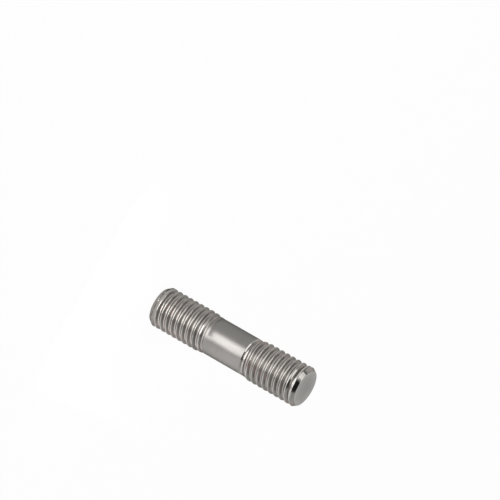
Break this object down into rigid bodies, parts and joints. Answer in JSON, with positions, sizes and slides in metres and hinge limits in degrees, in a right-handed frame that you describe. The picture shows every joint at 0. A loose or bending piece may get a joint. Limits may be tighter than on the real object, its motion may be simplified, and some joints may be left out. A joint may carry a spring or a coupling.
{
  "type": "double ended stud",
  "caption": "Short steel stud with a coarse rolled thread on both ends and a plain, slightly reduced shank between them.",
  "frame": {"origin": "centre of the lower end face", "axes": "+Z along the stud's axis, from the lower end face to the upper one; both threads are right-hand"},
  "size_m": [0.0098, 0.0098, 0.0404],
  "materials": {
    "plated_steel": "bright rolled and plated steel, satin"
  },
  "bodies": {
    "root": {"stud": "plated_steel"}
  },
  "joints": []
}
